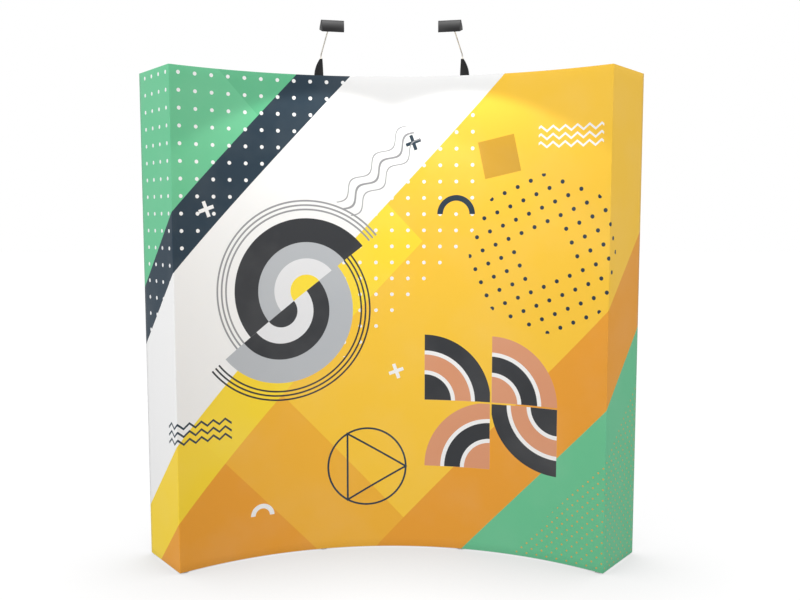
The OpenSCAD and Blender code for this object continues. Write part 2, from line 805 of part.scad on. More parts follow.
tilt_screw(-1);  // left_tilt_screw
head_shell(-1);  // left_head_shell
head_bezel(-1);  // left_head_bezel
head_lens(-1);  // left_head_lens
led_board(-1);  // left_led_board
lamp_bracket(1);  // right_lamp_bracket
cord_gland(1);  // right_cord_gland
arm_bush(1);  // right_arm_bush
lamp_arm(1);  // right_lamp_arm
arm_knuckle(1);  // right_arm_knuckle
tilt_screw(1);  // right_tilt_screw
head_shell(1);  // right_head_shell
head_bezel(1);  // right_head_bezel
head_lens(1);  // right_head_lens
led_board(1);  // right_led_board
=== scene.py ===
import json
import logging
import math
from dataclasses import dataclass, field
from enum import Enum
from typing import Dict, List, Sequence, Tuple

import bmesh
import bpy
import numpy as np
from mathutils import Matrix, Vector


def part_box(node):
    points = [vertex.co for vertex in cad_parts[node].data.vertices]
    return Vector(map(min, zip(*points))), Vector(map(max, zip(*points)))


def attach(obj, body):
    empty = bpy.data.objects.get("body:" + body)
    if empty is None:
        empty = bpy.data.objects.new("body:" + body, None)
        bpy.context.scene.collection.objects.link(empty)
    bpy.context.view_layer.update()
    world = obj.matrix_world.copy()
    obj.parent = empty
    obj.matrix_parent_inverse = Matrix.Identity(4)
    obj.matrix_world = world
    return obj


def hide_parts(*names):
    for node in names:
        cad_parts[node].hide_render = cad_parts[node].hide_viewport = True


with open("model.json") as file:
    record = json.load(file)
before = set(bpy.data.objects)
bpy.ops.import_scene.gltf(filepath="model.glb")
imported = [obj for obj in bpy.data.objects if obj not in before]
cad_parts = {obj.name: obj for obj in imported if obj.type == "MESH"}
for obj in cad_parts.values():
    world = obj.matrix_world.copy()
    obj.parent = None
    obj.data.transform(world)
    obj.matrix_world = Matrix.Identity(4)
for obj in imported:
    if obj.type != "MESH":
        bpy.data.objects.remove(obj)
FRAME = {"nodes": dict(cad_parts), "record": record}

LOG = logging.getLogger("display_wall")
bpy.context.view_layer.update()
Colour = Tuple[float, float, float]
Point2 = Tuple[float, float]


class Side(Enum):
    """The two lamps, by the side of the wall that they stand on."""

    LEFT = -1
    RIGHT = 1

    @property
    def word(self) -> str:
        """The side's name as the frame's nodes and bodies spell it."""
        return self.name.lower()


class HemEdge(Enum):
    """The two hems that hold a batten."""

    TOP = "top"
    BOTTOM = "bottom"


def linear_share(share: float) -> float:
    """One screen value, 0 to 1, as its linear value."""
    return share / 12.92 if share <= 0.04045 else ((share + 0.055) / 1.055) ** 2.4


def linear(red: int, green: int, blue: int) -> Colour:
    """A colour as it looks on a screen, as the linear values that a shader takes.

    Args:
        red: its red, 0 to 255.
        green: its green.
        blue: its blue.

    Returns:
        The three linear values.
    """
    return linear_share(red / 255), linear_share(green / 255), linear_share(blue / 255)


BODY_OF: Dict[str, str] = {
    node: body
    for body, nodes in FRAME["record"]["behaviour"]["bodies"].items()
    for node in nodes
}


# ---------------------------------------------------------------- sizes


@dataclass(frozen=True)
class WallSizes:
    """The driving sizes of the wall, in metres and degrees, as the frame was built.

    The rows' heights, the hubs' caps and the lines of the skin are worked out from these.
    """

    height: float = 2.230
    radius: float = 1.485
    end_angle: float = 38.0
    depth: float = 0.321
    lift: float = 0.006
    cloth: float = 0.0012
    cap_offset: float = 0.033
    corner: float = 0.003
    columns: int = 4
    rows: int = 4
    low_row: float = 0.050
    top_drop: float = 0.045
    rear_play: float = 0.003
    cap: float = 0.0015

    @property
    def corner_angle(self) -> float:
        """The angle from the wall's middle to its sharp front corners, in radians."""
        return math.radians(self.end_angle) + math.asin(self.cap_offset / self.radius)

    @property
    def centre_y(self) -> float:
        """Where the arc's centre lies along Y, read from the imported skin's front corners."""
        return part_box("graphic_skin")[0].y - self.radius * math.cos(self.corner_angle)

    @property
    def bay_angle(self) -> float:
        """The angle between two columns of hubs, in degrees."""
        return 2 * self.end_angle / (self.columns - 1)

    @property
    def row_heights(self) -> List[float]:
        """The heights of the rows of hubs, from the lowest up."""
        step = (self.height - self.low_row - self.top_drop) / (self.rows - 1)
        return [self.low_row + step * row for row in range(self.rows)]

    @property
    def rear_face(self) -> float:
        """The radius of the rear hubs' outer faces, which the caps sit on."""
        return self.radius + self.depth - self.rear_play - self.cap


WALL = WallSizes()


# ---------------------------------------------------------------- shader fields


class Field:
    """A number that varies over a surface: a shader socket that can be reckoned with."""

    def __init__(self, tree: bpy.types.NodeTree, socket: bpy.types.NodeSocket) -> None:
        """Keeps the tree and the socket."""
        self.tree = tree
        self.socket = socket

    def reckon(self, operation: str, *others: "Field | float", clamp: bool = False) -> "Field":
        """Adds one Math node.

        Args:
            operation: the node's operation.
            others: the further inputs, as fields or plain numbers.
            clamp: whether the result is held between 0 and 1.

        Returns:
            The node's result.
        """
        node = self.tree.nodes.new("ShaderNodeMath")
        node.operation = operation
        node.use_clamp = clamp
        self.tree.links.new(self.socket, node.inputs[0])
        for slot, other in zip(node.inputs[1:], others):
            if isinstance(other, Field):
                self.tree.links.new(other.socket, slot)
            else:
                slot.default_value = other
        return Field(self.tree, node.outputs[0])

    def __add__(self, other: "Field | float") -> "Field":
        """The sum."""
        return self.reckon("ADD", other)

    def __sub__(self, other: "Field | float") -> "Field":
        """The difference."""
        return self.reckon("SUBTRACT", other)

    def __mul__(self, other: "Field | float") -> "Field":
        """The product."""
        return self.reckon("MULTIPLY", other)

    def __abs__(self) -> "Field":
        """The size without the sign."""
        return self.reckon("ABSOLUTE")

    def within(self, limit: float, soft: float = 0.0008) -> "Field":
        """1 where the field is under limit and 0 past it, with an edge soft metres wide."""
        return self.reckon("MULTIPLY_ADD", -1 / soft, limit / soft + 0.5, clamp=True)

    def beyond(self, limit: float, soft: float = 0.0008) -> "Field":
        """1 where the field is past limit and 0 under it."""
        return self.reckon("MULTIPLY_ADD", 1 / soft, 0.5 - limit / soft, clamp=True)

    def least(self, other: "Field") -> "Field":
        """The smaller of two fields: where both masks hold."""
        return self.reckon("MINIMUM", other)

    def most(self, other: "Field") -> "Field":
        """The larger of two fields: where either mask holds."""
        return self.reckon("MAXIMUM", other)

    def repeat(self, step: float) -> "Field":
        """The distance to the nearest of a row of lines that stand step apart."""
        return abs(self.reckon("WRAP", step / 2, -step / 2))

    def distance(self, other: "Field") -> "Field":
        """The length of the vector that has the two fields as its parts."""
        return (self * self + other * other).reckon("SQRT")


class Print:
    """The skin's print: layers of flat ink laid over each other by masks."""

    def __init__(self, tree: bpy.types.NodeTree, u: Field, v: Field, ground: Colour) -> None:
        """Starts the print on a ground colour.

        Args:
            tree: the material's node tree.
            u: the distance along the skin from its middle, in metres.
            v: the height above the floor, in metres.
            ground: the colour below every layer.
        """
        self.tree, self.u, self.v = tree, u, v
        node = tree.nodes.new("ShaderNodeRGB")
        node.outputs[0].default_value = (*ground, 1)
        self.colour: bpy.types.NodeSocket = node.outputs[0]

    def lay(self, mask: Field, ink: Colour, cover: float = 1.0) -> None:
        """Lays an ink over what is already printed.

        Args:
            mask: 1 where the ink lies and 0 elsewhere.
            ink: the ink's colour.
            cover: the share of what is below that the ink hides.
        """
        mix = self.tree.nodes.new("ShaderNodeMix")
        mix.data_type = "RGBA"
        factor = mask * cover if cover < 1 else mask
        self.tree.links.new(factor.socket, mix.inputs[0])
        self.tree.links.new(self.colour, mix.inputs[6])
        mix.inputs[7].default_value = (*ink, 1)
        self.colour = mix.outputs[2]

    def from_point(self, x: float, y: float) -> Tuple[Field, Field]:
        """The skin's coordinates counted from a point."""
        return self.u - x, self.v - y

    def along(self, x: float, y: float, angle: float) -> Tuple[Field, Field]:
        """Coordinates counted from a point and turned: along a direction, and across it.

        Args:
            x: the point's place along the skin.
            y: its height.
            angle: the direction, in degrees above level.

        Returns:
            The two coordinates.
        """
        a, b = self.from_point(x, y)
        c, s = math.cos(math.radians(angle)), math.sin(math.radians(angle))
        return a * c + b * s, b * c - a * s


class Ink(Enum):
    """The inks of the print."""

    GOLD = linear(253, 203, 64)
    ORANGE = linear(238, 162, 54)
    LEMON = linear(255, 226, 58)
    MINT = linear(108, 198, 150)
    DEEP_MINT = linear(93, 184, 137)
    NAVY = linear(38, 56, 70)
    WHITE = linear(247, 247, 247)
    GREY = linear(232, 233, 236)
    CHARCOAL = linear(52, 54, 58)
    SILVER = linear(186, 190, 195)
    ASH = linear(150, 151, 154)
    COPPER = linear(222, 155, 118)
    BROWN = linear(150, 92, 26)


@dataclass(frozen=True)
class PrintedCloth:
    """Dye-printed stretch polyester with a generic print of bands, dots and plain figures.

    Every place is (distance along the skin from its middle, height), in metres.
    """

    name: str = "printed_cloth"
    band_start: Point2 = (0.0, 1.115)
    band_angle: float = 47.0
    dot_step: float = 0.075
    dot_radius: float = 0.0085
    fine_step: float = 0.034
    fine_radius: float = 0.0042
    navy_dots_at: Point2 = (0.72, 1.42)
    navy_step: float = 0.066
    navy_radius: float = 0.0095
    halves_at: Point2 = (-0.46, 1.20)
    halves_slip: float = 0.075
    leaves_at: Point2 = (0.47, 0.72)
    leaf: float = 0.315
    leaf_gap: float = 0.004
    ring_at: Point2 = (-0.12, 0.40)
    ring_radius: float = 0.185
    line: float = 0.009
    waves_at: Point2 = (-0.06, 1.80)
    wave_length: float = 0.16
    square_at: Point2 = (0.50, 1.86)
    zigzag_pitch: float = 0.056
    weave: float = 0.0011

    def bands(self, art: Print) -> Field:
        """Lays the wide diagonal bands.

        Args:
            art: the print so far.

        Returns:
            The distance across the bands, which the dots are bounded by.
        """
        _, across = art.along(*self.band_start, self.band_angle)
        _, counter = art.along(*self.band_start, -self.band_angle)
        art.lay(counter.within(-0.62), Ink.ORANGE.value, 0.55)
        art.lay(counter.within(-1.02), Ink.ORANGE.value)
        art.lay(across.within(-0.70), Ink.ORANGE.value)
        art.lay(across.within(-1.00), Ink.MINT.value)
        art.lay(across.beyond(0.14).least(counter.within(0.35)), Ink.LEMON.value, 0.85)
        art.lay(across.beyond(0.38), Ink.WHITE.value)
        art.lay(across.beyond(0.90), Ink.NAVY.value)
        art.lay(across.beyond(1.08), Ink.MINT.value)
        art.lay(across.beyond(1.08).least(counter.beyond(0.18)), Ink.DEEP_MINT.value, 0.7)
        return across

    def dots(self, art: Print, across: Field) -> None:
        """Lays the white dot field, the small dots of the lower corner and the navy dots.

        Args:
            art: the print so far.
            across: the distance across the bands.
        """
        step = self.dot_step
        grid = art.u.repeat(step).distance((art.v - step / 3).repeat(step))
        area = across.beyond(0.0).least(art.v.beyond(0.93)).least(art.u.within(0.42))
        art.lay(grid.within(self.dot_radius).least(area), Ink.WHITE.value)
        a, b = art.along(0.0, 0.0, 45)
        fine = a.repeat(self.fine_step).distance(b.repeat(self.fine_step))
        art.lay(fine.within(self.fine_radius).least(across.within(-1.16)), Ink.ORANGE.value, 0.8)
        c, d = art.along(*self.navy_dots_at, 24)
        navy = c.repeat(self.navy_step).distance(d.repeat(self.navy_step))
        away = c.distance(d)
        spot = navy.within(self.navy_radius).least(away.within(0.36)).least(away.beyond(0.11))
        art.lay(spot, Ink.NAVY.value)

    def halves(self, art: Print) -> None:
        """Lays the grey figure: two half discs that slip along their common edge, ringed inside.

        Args:
            art: the print so far.
        """
        a, b = art.along(*self.halves_at, 38)
        upper = (a - self.halves_slip).distance(b)
        lower = (a + self.halves_slip).distance(b)
        rings = ((0.335, Ink.CHARCOAL, Ink.SILVER), (0.225, Ink.SILVER, Ink.CHARCOAL),
                 (0.150, Ink.GREY, Ink.GREY), (0.075, Ink.LEMON, Ink.CHARCOAL))
        for radius, over, under in rings:
            art.lay(upper.within(radius).least(b.beyond(0.0)), over.value)
            art.lay(lower.within(radius).least(b.within(0.0)), under.value)
        for radius in (0.375, 0.395, 0.415):
            art.lay(abs(upper - radius).within(0.004).least(b.beyond(0.0)), Ink.ASH.value)
            art.lay(abs(lower - radius).within(0.004).least(b.within(0.0)), Ink.CHARCOAL.value)

    def leaves(self, art: Print) -> None:
        """Lays the copper figure: four leaves, each a quarter disc in its own square.

        Args:
            art: the print so far.
        """
        a, b = art.from_point(*self.leaves_at)
        size, gap = self.leaf, self.leaf_gap
        inks = (Ink.COPPER, Ink.CHARCOAL, Ink.COPPER, Ink.CHARCOAL)
        centres = ((0.0, 0.0), (size, 0.0), (0.0, -size), (-size, 0.0))
        squares = ((1, 1), (1, -1), (-1, -1), (-1, 1))
        for ink, (sx, sy), (cx, cy) in zip(inks, squares, centres):
            square = (a * sx).beyond(gap).least((a * sx).within(size))
            square = square.least((b * sy).beyond(gap)).least((b * sy).within(size))
            away = (a - cx).distance(b - cy)
            art.lay(square.least(away.within(size)), ink.value)
            other = Ink.CHARCOAL if ink is Ink.COPPER else Ink.COPPER
            for share, tone in ((0.76, Ink.WHITE), (0.70, other), (0.46, Ink.WHITE), (0.40, ink)):
                art.lay(square.least(away.within(size * share)), tone.value)

    def zigzags(self, art: Print) -> None:
        """Lays two sets of three zigzag lines.

        Args:
            art: the print so far.
        """
        for x, y, reach, ink in ((-0.93, 0.62, 0.17, Ink.NAVY), (0.83, 1.93, 0.15, Ink.WHITE)):
            a, b = art.from_point(x, y)
            crest = a.repeat(self.zigzag_pitch) * 0.8
            for row in (-0.035, 0.0, 0.035):
                line = abs(b - crest - row).within(0.0055)
                art.lay(line.least(abs(a).within(reach)), ink.value)

    def ringed_triangle(self, art: Print) -> None:
        """Lays a ring with a triangle that touches it from inside.

        Args:
            art: the print so far.
        """
        a, b = art.from_point(*self.ring_at)
        ring = abs(a.distance(b) - self.ring_radius).within(self.line / 2)
        art.lay(ring, Ink.NAVY.value)
        edges = None
        for turn in (90, 210, 330):
            _, edge = art.along(*self.ring_at, turn)
            edges = edge if edges is None else edges.most(edge)
        art.lay(abs(edges - self.ring_radius / 2).within(self.line / 2), Ink.NAVY.value)

    def small_figures(self, art: Print) -> None:
        """Lays two arches, three crosses, the waves and the brown square.

        Args:
            art: the print so far.
        """
        for x, y, radius, half_width, ink in ((0.30, 1.60, 0.075, 0.013, Ink.NAVY),
                                              (-0.62, 0.20, 0.045, 0.011, Ink.WHITE)):
            a, b = art.from_point(x, y)
            arch = abs(a.distance(b) - radius).within(half_width)
            art.lay(arch.least(b.beyond(0.0)), ink.value)
        for x, y, ink in ((0.02, 0.86, Ink.WHITE), (0.10, 1.93, Ink.NAVY), (-0.86, 1.62, Ink.WHITE)):
            a, b = art.along(x, y, 20)
            across = abs(a).within(0.008).least(abs(b).within(0.036))
            along = abs(b).within(0.008).least(abs(a).within(0.036))
            art.lay(across.most(along), ink.value)
        a, b = art.along(*self.waves_at, self.band_angle)
        wave = a.reckon("MULTIPLY", 2 * math.pi / self.wave_length).reckon("SINE") * 0.020
        for row, half_width in ((-0.045, 0.0028), (0.0, 0.0052), (0.045, 0.0028)):
            line = abs(b - wave - row).within(half_width, 0.002)
            art.lay(line.least(abs(a).within(0.24)), Ink.ASH.value)
        a, b = art.along(*self.square_at, 12)
        art.lay(abs(a).within(0.085).least(abs(b).within(0.085)), Ink.BROWN.value, 0.5)

    def build(self) -> bpy.types.Material:
        """Builds the material over the skin's own map, which counts in metres.

        Returns:
            The material, with the weave as a fine bump.
        """
        material, tree, shader = new_material(self.name)
        uv = tree.nodes.new("ShaderNodeUVMap")
        uv.uv_map = "metres"
        split = tree.nodes.new("ShaderNodeSeparateXYZ")
        tree.links.new(uv.outputs[0], split.inputs[0])
        art = Print(tree, Field(tree, split.outputs[0]), Field(tree, split.outputs[1]), Ink.GOLD.value)
        self.dots(art, self.bands(art))
        self.halves(art)
        self.leaves(art)
        self.zigzags(art)
        self.ringed_triangle(art)
        self.small_figures(art)
        cloud = noise_field(tree, uv.outputs[0], 3.0, 3)
        art.lay(cloud.beyond(0.56, 0.25), Ink.WHITE.value, 0.03)
        tree.links.new(art.colour, shader.inputs["Base Color"])
        shader.inputs["Roughness"].default_value = 0.78
        shader.inputs["Specular IOR Level"].default_value = 0.28
        shader.inputs["Sheen Weight"].default_value = 0.12
        shader.inputs["Sheen Roughness"].default_value = 0.5
        warp = art.u.reckon("MULTIPLY", 2 * math.pi / self.weave).reckon("SINE")
        weft = art.v.reckon("MULTIPLY", 2 * math.pi / self.weave).reckon("SINE")
        add_bump(tree, shader, (warp * weft).socket, 0.12, 0.00012)
        return material


# ---------------------------------------------------------------- plain finishes


def new_material(name: str) -> Tuple[bpy.types.Material, bpy.types.NodeTree, bpy.types.Node]:
    """A new node material.

    Args:
        name: the material's name.

    Returns:
        The material, its node tree and its Principled shader.
    """
    material = bpy.data.materials.new(name)
    material.use_nodes = True
    tree = material.node_tree
    return material, tree, tree.nodes["Principled BSDF"]


def add_bump(tree: bpy.types.NodeTree, shader: bpy.types.Node, height: bpy.types.NodeSocket,
             strength: float, reach: float) -> None:
    """Adds a bump to a shader.

    Args:
        tree: the material's node tree.
        shader: its Principled shader.
        height: the socket that gives the height, 0 to 1.
        strength: how much of the bump shows.
        reach: the height's full range, in metres.
    """
    bump = tree.nodes.new("ShaderNodeBump")
    bump.inputs["Strength"].default_value = strength
    bump.inputs["Distance"].default_value = reach
    tree.links.new(height, bump.inputs["Height"])
    tree.links.new(bump.outputs[0], shader.inputs["Normal"])


def noise_field(tree: bpy.types.NodeTree, vector: bpy.types.NodeSocket, scale: float,
                detail: float, stretch: Sequence[float] = (1, 1, 1)) -> Field:
    """A noise over a vector.

    Args:
        tree: the material's node tree.
        vector: the coordinates that the noise reads.
        scale: how fine the noise is.
        detail: its octaves.
        stretch: the scale along each axis, where less than 1 draws the noise out.

    Returns:
        The noise's value, 0 to 1.
    """
    mapping = tree.nodes.new("ShaderNodeMapping")
    mapping.inputs["Scale"].default_value = stretch
    tree.links.new(vector, mapping.inputs[0])
    noise = tree.nodes.new("ShaderNodeTexNoise")
    noise.inputs["Scale"].default_value = scale
    noise.inputs["Detail"].default_value = detail
    tree.links.new(mapping.outputs[0], noise.inputs["Vector"])
    return Field(tree, noise.outputs["Fac"])


@dataclass(frozen=True)
class Finish:
    """A plain finish: two close tones mixed by a noise, with a grain in roughness and bump.

    stretch draws the grain out along an axis, as brushing or extrusion does.
    """

    name: str
    tone: Colour
    second: Colour
    roughness: float = 0.5
    metallic: float = 0.0
    patch: float = 18.0
    grain: float = 900.0
    bump: float = 0.15
    reach: float = 0.0002
    rough_swing: float = 0.12
    coat: float = 0.0
    sheen: float = 0.0
    specular: float = 0.5
    stretch: Tuple[float, float, float] = (1.0, 1.0, 1.0)

    def build(self) -> bpy.types.Material:
        """Builds the material on object coordinates.

        Returns:
            The material.
        """
        material, tree, shader = new_material(self.name)
        place = tree.nodes.new("ShaderNodeTexCoord").outputs["Object"]
        patches = noise_field(tree, place, self.patch, 3)
        grain = noise_field(tree, place, self.grain, 2, self.stretch)
        mix = tree.nodes.new("ShaderNodeMix")
        mix.data_type = "RGBA"
        tree.links.new(patches.beyond(0.5, 0.4).socket, mix.inputs[0])
        mix.inputs[6].default_value = (*self.tone, 1)
        mix.inputs[7].default_value = (*self.second, 1)
        tree.links.new(mix.outputs[2], shader.inputs["Base Color"])
        rough = grain * self.rough_swing + (self.roughness - self.rough_swing / 2)
        tree.links.new(rough.socket, shader.inputs["Roughness"])
        shader.inputs["Metallic"].default_value = self.metallic
        shader.inputs["Coat Weight"].default_value = self.coat
        shader.inputs["Sheen Weight"].default_value = self.sheen
        shader.inputs["Specular IOR Level"].default_value = self.specular
        add_bump(tree, shader, grain.socket, self.bump, self.reach)
        return material


@dataclass(frozen=True)
class FadedFinish(Finish):
    """A satin paint with painted light: its front is painted lighter upwards, from the height low to the
    height high, as a painted highlight of the light from above.
    """

    # the lighter tone of the painted highlight at the top of the front
    crown: Colour = (0.2, 0.2, 0.2)
    low: float = 0.0
    high: float = 1.0

    def build(self) -> bpy.types.Material:
        """Builds the plain finish and fades its colour upwards on the front into the crown's, a painted
        highlight.

        Returns:
            The material.
        """
        material = super().build()
        tree = material.node_tree
        base = tree.nodes["Principled BSDF"].inputs["Base Color"]
        where = tree.nodes.new("ShaderNodeTexCoord")
        place, normal = (tree.nodes.new("ShaderNodeSeparateXYZ") for _ in range(2))
        tree.links.new(where.outputs["Object"], place.inputs[0])
        tree.links.new(where.outputs["Normal"], normal.inputs[0])
        middle = (self.low + self.high) / 2
        # painted light: the front is painted lighter towards the top, as if lit from above
        rise = Field(tree, place.outputs[2]).beyond(middle, self.high - self.low)
        front = Field(tree, normal.outputs[1]).within(-0.72, 0.4)
        mix = tree.nodes.new("ShaderNodeMix")
        mix.data_type = "RGBA"
        tree.links.new((rise.reckon("POWER", 1.5) * front).socket, mix.inputs[0])
        tree.links.new(base.links[0].from_socket, mix.inputs[6])
        mix.inputs[7].default_value = (*self.crown, 1)
        tree.links.new(mix.outputs[2], base)
        return material


@dataclass(frozen=True)
class LensFinish:
    """Frosted lens over light emitters, which glows a little all over."""

    name: str = "frosted_lens"
    glow: float = 0.9

    def build(self) -> bpy.types.Material:
        """Builds the material on object coordinates.

        Returns:
            The material.
        """
        material, tree, shader = new_material(self.name)
        place = tree.nodes.new("ShaderNodeTexCoord").outputs["Object"]
        frost = noise_field(tree, place, 1400.0, 2)
        shader.inputs["Base Color"].default_value = (0.9, 0.9, 0.86, 1)
        shader.inputs["Roughness"].default_value = 0.4
        shader.inputs["Emission Color"].default_value = (1.0, 0.95, 0.82, 1)
        shader.inputs["Emission Strength"].default_value = self.glow
        add_bump(tree, shader, frost.socket, 0.3, 0.0002)
        return material


class Finishes:
    """The object's finishes, built once, by the record's material slot."""

    def __init__(self) -> None:
        """Builds every material."""
        head_low, head_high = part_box("left_head_shell")
        plain = (
            Finish("hub_plastic", linear(34, 35, 38), linear(42, 43, 46), 0.48, grain=1400.0, bump=0.25),
            Finish("cap_plastic", linear(26, 26, 28), linear(34, 34, 37), 0.30, coat=0.15, grain=1100.0),
            Finish("tube_aluminium", linear(196, 199, 203), linear(178, 182, 188), 0.34, 1.0,
                   grain=700.0, bump=0.06, rough_swing=0.16, stretch=(1.0, 1.0, 0.08)),
            Finish("fastener_steel", linear(176, 178, 182), linear(150, 152, 158), 0.30, 1.0,
                   grain=1500.0, bump=0.10),
            Finish("hook_tape", linear(40, 40, 43), linear(56, 56, 60), 0.90, grain=2200.0, bump=0.9,
                   reach=0.0006, sheen=0.3),
            Finish("loop_tape", linear(226, 226, 222), linear(206, 206, 202), 0.95, grain=1800.0,
                   bump=0.8, reach=0.0006, sheen=0.4),
            Finish("foot_rubber", linear(222, 222, 220), linear(212, 212, 210), 0.85, grain=800.0,
                   bump=0.3),
            Finish("batten_plastic", linear(232, 232, 228), linear(220, 220, 216), 0.42),
            Finish("lamp_black_plastic", linear(20, 20, 21), linear(26, 26, 28), 0.48, grain=1200.0,
                   bump=0.25, specular=0.22),
            Finish("bush_nylon", linear(222, 220, 212), linear(210, 208, 200), 0.45),
            Finish("arm_steel", linear(232, 226, 216), linear(218, 212, 202), 0.38, 0.35,
                   grain=900.0, bump=0.05),
            # the lamp housing, on the head shells and knuckles, carries a painted highlight: its front is
            # lighter towards the top
            FadedFinish("lamp_housing", linear(30, 30, 31), linear(36, 36, 37), 0.44, grain=1600.0,
                        bump=0.18, specular=0.25, crown=linear(128, 128, 128), low=head_low.z + 0.010,
                        high=head_high.z),
            Finish("led_board", linear(222, 228, 222), linear(205, 214, 206), 0.5),
            Finish("cloth_back", linear(240, 240, 238), linear(228, 228, 226), 0.85, patch=4.0,
                   grain=1500.0, bump=0.3, sheen=0.15),
        )
        self.by_slot: Dict[str, bpy.types.Material] = {f.name: f.build() for f in plain}
        self.by_slot["printed_fabric"] = PrintedCloth().build()
        self.by_slot["lamp_lens"] = LensFinish().build()

    def dress(self, obj: bpy.types.Object, slot: str) -> None:
        """Gives an object one finish all over."""
        obj.data.materials.clear()
        obj.data.materials.append(self.by_slot[slot])


# ---------------------------------------------------------------- mesh helpers


def new_object(name: str, mesh: bpy.types.Mesh) -> bpy.types.Object:
    """Links a mesh into the scene.

    Args:
        name: the new object's name.
        mesh: its mesh, with its place in it.

    Returns:
        The object, at the origin.
    """
    obj = bpy.data.objects.new(name, mesh)
    bpy.context.scene.collection.objects.link(obj)
    return obj


def shade_by_angle(obj: bpy.types.Object, degrees: float = 35.0) -> None:
    """Shades smooth, but keeps the sharper edges.

    Args:
        obj: the object to shade.
        degrees: the angle between two faces past which their edge stays sharp.
    """
    mesh = bmesh.new()
    mesh.from_mesh(obj.data)
    for face in mesh.faces:
        face.smooth = True
    for edge in mesh.edges:
        turn = edge.calc_face_angle(math.pi) if len(edge.link_faces) == 2 else math.pi
        edge.smooth = turn < math.radians(degrees)
    mesh.to_mesh(obj.data)
    mesh.free()


def outward(mesh: bmesh.types.BMesh) -> None:
    """Merges doubled points and turns every face outwards."""
    bmesh.ops.remove_doubles(mesh, verts=mesh.verts, dist=1e-6)
    bmesh.ops.recalc_face_normals(mesh, faces=mesh.faces)


def loft(name: str, rings: Sequence[Sequence[Vector]], closed: bool = False) -> bpy.types.Object:
    """A tube of faces through rings of points, with its ends filled unless it closes on itself.

    Args:
        name: the new object's name.
        rings: the rings, each with the same number of points in the same order.
        closed: whether the last ring joins the first.

    Returns:
        The object, with its faces outwards.
    """
    mesh = bmesh.new()
    points = [[mesh.verts.new(p) for p in ring] for ring in rings]
    pairs = list(zip(points, points[1:])) + ([(points[-1], points[0])] if closed else [])
    for one, two in pairs:
        count = len(one)
        for k in range(count):
            mesh.faces.new((one[k], one[(k + 1) % count], two[(k + 1) % count], two[k]))
    if not closed:
        mesh.faces.new(points[0][::-1])
        mesh.faces.new(points[-1])
    outward(mesh)
    data = bpy.data.meshes.new(name)
    mesh.to_mesh(data)
    mesh.free()
    return new_object(name, data)


def join(name: str, parts: Sequence[bpy.types.Object]) -> bpy.types.Object:
    """Joins objects that sit at the origin into one.

    Args:
        name: the new object's name.
        parts: the objects, which are removed.

    Returns:
        The object that holds all their meshes.
    """
    mesh = bmesh.new()
    for part in parts:
        mesh.from_mesh(part.data)
    data = bpy.data.meshes.new(name)
    mesh.to_mesh(data)
    mesh.free()
    for part in parts:
        bpy.data.objects.remove(part)
    return new_object(name, data)


def moulded_copy(node: str, name: str, edge: float, segments: int = 2) -> bpy.types.Object:
    """A copy of a node's mesh with its flat faces whole again and its edges rounded.

    Args:
        node: the node to copy, which the copy then stands for.
        name: the copy's name.
        edge: the radius of the rounded edges, in metres.
        segments: the steps round an edge.

    Returns:
        The copy, riding on the node's body.
    """
    mesh = bmesh.new()
    mesh.from_mesh(FRAME["nodes"][node].data)
    bmesh.ops.remove_doubles(mesh, verts=mesh.verts, dist=2e-6)
    bmesh.ops.dissolve_limit(mesh, angle_limit=math.radians(0.6), verts=mesh.verts, edges=mesh.edges)
    data = bpy.data.meshes.new(name)
    mesh.to_mesh(data)
    mesh.free()
    obj = new_object(name, data)
    bevel = obj.modifiers.new("edges", "BEVEL")
    bevel.width = edge
    bevel.segments = segments
    bevel.limit_method = "ANGLE"
    bevel.angle_limit = math.radians(35)
    bevel.use_clamp_overlap = True
    bake(obj)
    shade_by_angle(obj)
    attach(obj, BODY_OF[node])
    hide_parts(node)
    return obj


def bake(obj: bpy.types.Object) -> None:
    """Turns an object's modifiers into plain mesh.

    Args:
        obj: the object.
    """
    graph = bpy.context.evaluated_depsgraph_get()
    data = bpy.data.meshes.new_from_object(obj.evaluated_get(graph))
    obj.modifiers.clear()
    obj.data = data


# ---------------------------------------------------------------- the fabric skin


CORNER_STEPS = 6
FOLD_STEPS = 5


